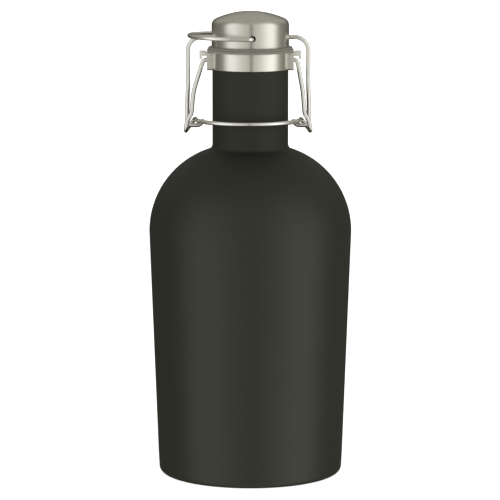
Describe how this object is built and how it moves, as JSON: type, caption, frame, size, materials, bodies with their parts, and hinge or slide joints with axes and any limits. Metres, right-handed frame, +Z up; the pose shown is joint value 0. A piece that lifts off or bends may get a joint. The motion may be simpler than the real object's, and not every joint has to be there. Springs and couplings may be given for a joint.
{
  "type": "growler",
  "caption": "Insulated swing-top bottle with a tapered dark body, rounded shoulder, straight neck, domed steel lid, wire bail with thumb bar and a side carry loop.",
  "frame": {"origin": "centre of the base's rest face, on the bottle's axis", "axes": "+Z up along the bottle's axis; the thumb bar and the lid's visible loop hole face -Y; lever, bail and lid pivots run along X"},
  "size_m": [0.1268, 0.1268, 0.2911],
  "materials": {
    "powder_coat": "fine matt charcoal powder coat",
    "brushed_steel": "stainless, fine brushing round the axis",
    "polished_wire": "bright drawn stainless wire",
    "grey_silicone": "satin grey silicone",
    "plug_plastic": "moulded black plastic",
    "foam": "closed-cell insulation foam",
    "solder": "dull solder bead",
    "getter": "pressed grey pellet"
  },
  "bodies": {
    "bottle": {"outer_shell": "powder_coat", "outer_base": "brushed_steel", "base_cover": "brushed_steel", "vacuum_seal": "solder", "inner_flask": "brushed_steel", "inner_base": "brushed_steel", "getter_pellet": "getter", "neck_collar": "brushed_steel", "left_pivot_lug": "brushed_steel", "right_pivot_lug": "brushed_steel"},
    "lever": {"lever_wire": "polished_wire"},
    "bail": {"bail_wire": "polished_wire"},
    "lid": {"lid_cap": "brushed_steel", "lid_foam": "foam", "lid_plug": "plug_plastic", "lid_gasket": "grey_silicone", "bail_tube": "brushed_steel"},
    "carry_loop": {"carry_loop": "polished_wire"}
  },
  "joints": [
    {"name": "lever_swing", "type": "hinge", "parent": "bottle", "child": "lever", "pos_m": [0, 0, 0.2608], "axis": [-1, 0, 0], "range_deg": [0, 100]},
    {"name": "bail_swing", "type": "hinge", "parent": "lever", "child": "bail", "pos_m": [0, 0.0037, 0.2212], "axis": [-1, 0, 0], "range_deg": [-38, 0]},
    {"name": "lid_tilt", "type": "hinge", "parent": "bail", "child": "lid", "pos_m": [0, 0, 0.2748], "axis": [-1, 0, 0], "range_deg": [-57, 0]},
    {"name": "loop_swing", "type": "hinge", "parent": "lid", "child": "carry_loop", "pos_m": [0.0012, 0, 0.275], "axis": [0, 1, 0], "range_deg": [0, 177]}
  ],
  "couplings": [
    {"joint": "bail_swing", "follows": "lever_swing", "ratio": -0.38},
    {"joint": "lid_tilt", "follows": "lever_swing", "ratio": -0.57}
  ]
}
